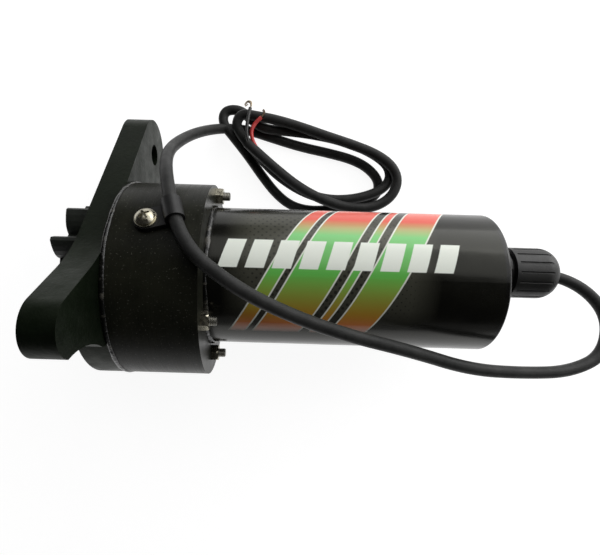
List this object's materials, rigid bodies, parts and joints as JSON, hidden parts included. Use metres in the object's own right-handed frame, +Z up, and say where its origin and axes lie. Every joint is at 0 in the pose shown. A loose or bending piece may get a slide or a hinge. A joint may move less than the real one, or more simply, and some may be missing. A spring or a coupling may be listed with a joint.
{
  "type": "drum drive gear motor",
  "caption": "Sealed tubular gear motor with a lobed mounting plate, toothed drive pinion, cable gland and a loosely coiled power cable.",
  "frame": {"origin": "middle of the footprint of the drive without its cable, on the surface that it lies on", "axes": "+X along the output axis from the drive pinion towards the cable gland, +Y sideways to the plate's upper ear, +Z up from the surface that it lies on"},
  "size_m": [0.2584, 0.1457, 0.1186],
  "materials": {
    "plate_plastic": "satin machined",
    "hub_plastic": "satin turned",
    "sealant": "glossy",
    "stainless": "bright",
    "clip_nylon": "satin",
    "tube_plastic": "glossy",
    "printed_film": "glossy printed film",
    "gland_nylon": "satin moulded",
    "seal_rubber": "matte",
    "zinc_steel": "zinc plated",
    "gearbox_steel": "ground",
    "bearing_steel": "polished",
    "motor_steel": "plated",
    "ferrite": "matte",
    "bronze": "sintered",
    "bell_plastic": "moulded",
    "copper": "bright",
    "pinion_plastic": "machined",
    "gear_steel": "hardened",
    "cable_sheath": "satin",
    "red_insulation": "satin",
    "black_insulation": "satin"
  },
  "bodies": {
    "housing": {"adapter_screws": "zinc_steel", "black_core": "black_insulation", "cable_coil": "cable_sheath", "cable_tail": "cable_sheath", "clamp_bolts": "stainless", "clamp_nuts": "stainless", "copper_tips": "copper", "gearbox_front_flange": "gearbox_steel", "gearbox_screws": "zinc_steel", "gland_body": "gland_nylon", "gland_clamp_sleeve": "seal_rubber", "gland_dome_nut": "gland_nylon", "gland_locknut": "gland_nylon", "gland_washer": "seal_rubber", "graphic_wrap": "printed_film", "hub_housing": "hub_plastic", "motor_adapter": "gearbox_steel", "motor_brushes": "ferrite", "motor_bushings": "bronze", "motor_can": "motor_steel", "motor_end_bell": "bell_plastic", "motor_leads": "red_insulation", "motor_magnets": "ferrite", "motor_terminals": "copper", "motor_tube": "tube_plastic", "mounting_plate": "plate_plastic", "output_bearing_balls": "bearing_steel", "output_bearing_race": "bearing_steel", "p_clip": "clip_nylon", "p_clip_screw": "stainless", "p_clip_washer": "stainless", "plate_sealant": "sealant", "power_cable": "cable_sheath", "red_core": "red_insulation", "ring_gear": "gearbox_steel", "shaft_seal": "seal_rubber", "tube_end_cap": "tube_plastic", "tube_sealant": "sealant"},
    "output": {"output_shaft": "bearing_steel", "pinion_key": "zinc_steel", "output_inner_race": "bearing_steel", "drive_pinion": "pinion_plastic", "pinion_screw": "zinc_steel", "output_carrier": "gearbox_steel", "output_carrier_pins": "bearing_steel"},
    "first_stage": {"first_carrier": "gearbox_steel", "first_carrier_pins": "bearing_steel", "second_stage_sun": "gear_steel"},
    "rotor": {"motor_sun": "gear_steel", "rotor_shaft": "bearing_steel", "armature_core": "motor_steel", "armature_windings": "copper", "commutator": "copper"},
    "second_planet_1": {"second_planet_1": "gear_steel"},
    "second_planet_2": {"second_planet_2": "gear_steel"},
    "second_planet_3": {"second_planet_3": "gear_steel"},
    "first_planet_1": {"first_planet_1": "gear_steel"},
    "first_planet_2": {"first_planet_2": "gear_steel"},
    "first_planet_3": {"first_planet_3": "gear_steel"}
  },
  "joints": [
    {"name": "output_spin", "type": "hinge", "parent": "housing", "child": "output", "pos_m": [-0.09544, -0.01615, 0.0443], "axis": [1, 0, 0], "continuous": true},
    {"name": "first_stage_spin", "type": "hinge", "parent": "housing", "child": "first_stage", "pos_m": [-0.09544, -0.01615, 0.0443], "axis": [1, 0, 0], "continuous": true},
    {"name": "rotor_spin", "type": "hinge", "parent": "housing", "child": "rotor", "pos_m": [-0.09544, -0.01615, 0.0443], "axis": [1, 0, 0], "continuous": true},
    {"name": "second_planet_1_spin", "type": "hinge", "parent": "output", "child": "second_planet_1", "pos_m": [-0.06544, -0.01615, 0.0563], "axis": [1, 0, 0], "continuous": true},
    {"name": "second_planet_2_spin", "type": "hinge", "parent": "output", "child": "second_planet_2", "pos_m": [-0.06544, -0.00576, 0.0383], "axis": [1, 0, 0], "continuous": true},
    {"name": "second_planet_3_spin", "type": "hinge", "parent": "output", "child": "second_planet_3", "pos_m": [-0.06544, -0.02654, 0.0383], "axis": [1, 0, 0], "continuous": true},
    {"name": "first_planet_1_spin", "type": "hinge", "parent": "first_stage", "child": "first_planet_1", "pos_m": [-0.05544, -0.01615, 0.0563], "axis": [1, 0, 0], "continuous": true},
    {"name": "first_planet_2_spin", "type": "hinge", "parent": "first_stage", "child": "first_planet_2", "pos_m": [-0.05544, -0.00576, 0.0383], "axis": [1, 0, 0], "continuous": true},
    {"name": "first_planet_3_spin", "type": "hinge", "parent": "first_stage", "child": "first_planet_3", "pos_m": [-0.05544, -0.02654, 0.0383], "axis": [1, 0, 0], "continuous": true}
  ],
  "couplings": [
    {"joint": "first_stage_spin", "follows": "output_spin", "ratio": 5},
    {"joint": "rotor_spin", "follows": "output_spin", "ratio": 25},
    {"joint": "second_planet_1_spin", "follows": "output_spin", "ratio": -2.6667},
    {"joint": "second_planet_2_spin", "follows": "output_spin", "ratio": -2.6667},
    {"joint": "second_planet_3_spin", "follows": "output_spin", "ratio": -2.6667},
    {"joint": "first_planet_1_spin", "follows": "output_spin", "ratio": -13.333},
    {"joint": "first_planet_2_spin", "follows": "output_spin", "ratio": -13.333},
    {"joint": "first_planet_3_spin", "follows": "output_spin", "ratio": -13.333}
  ]
}
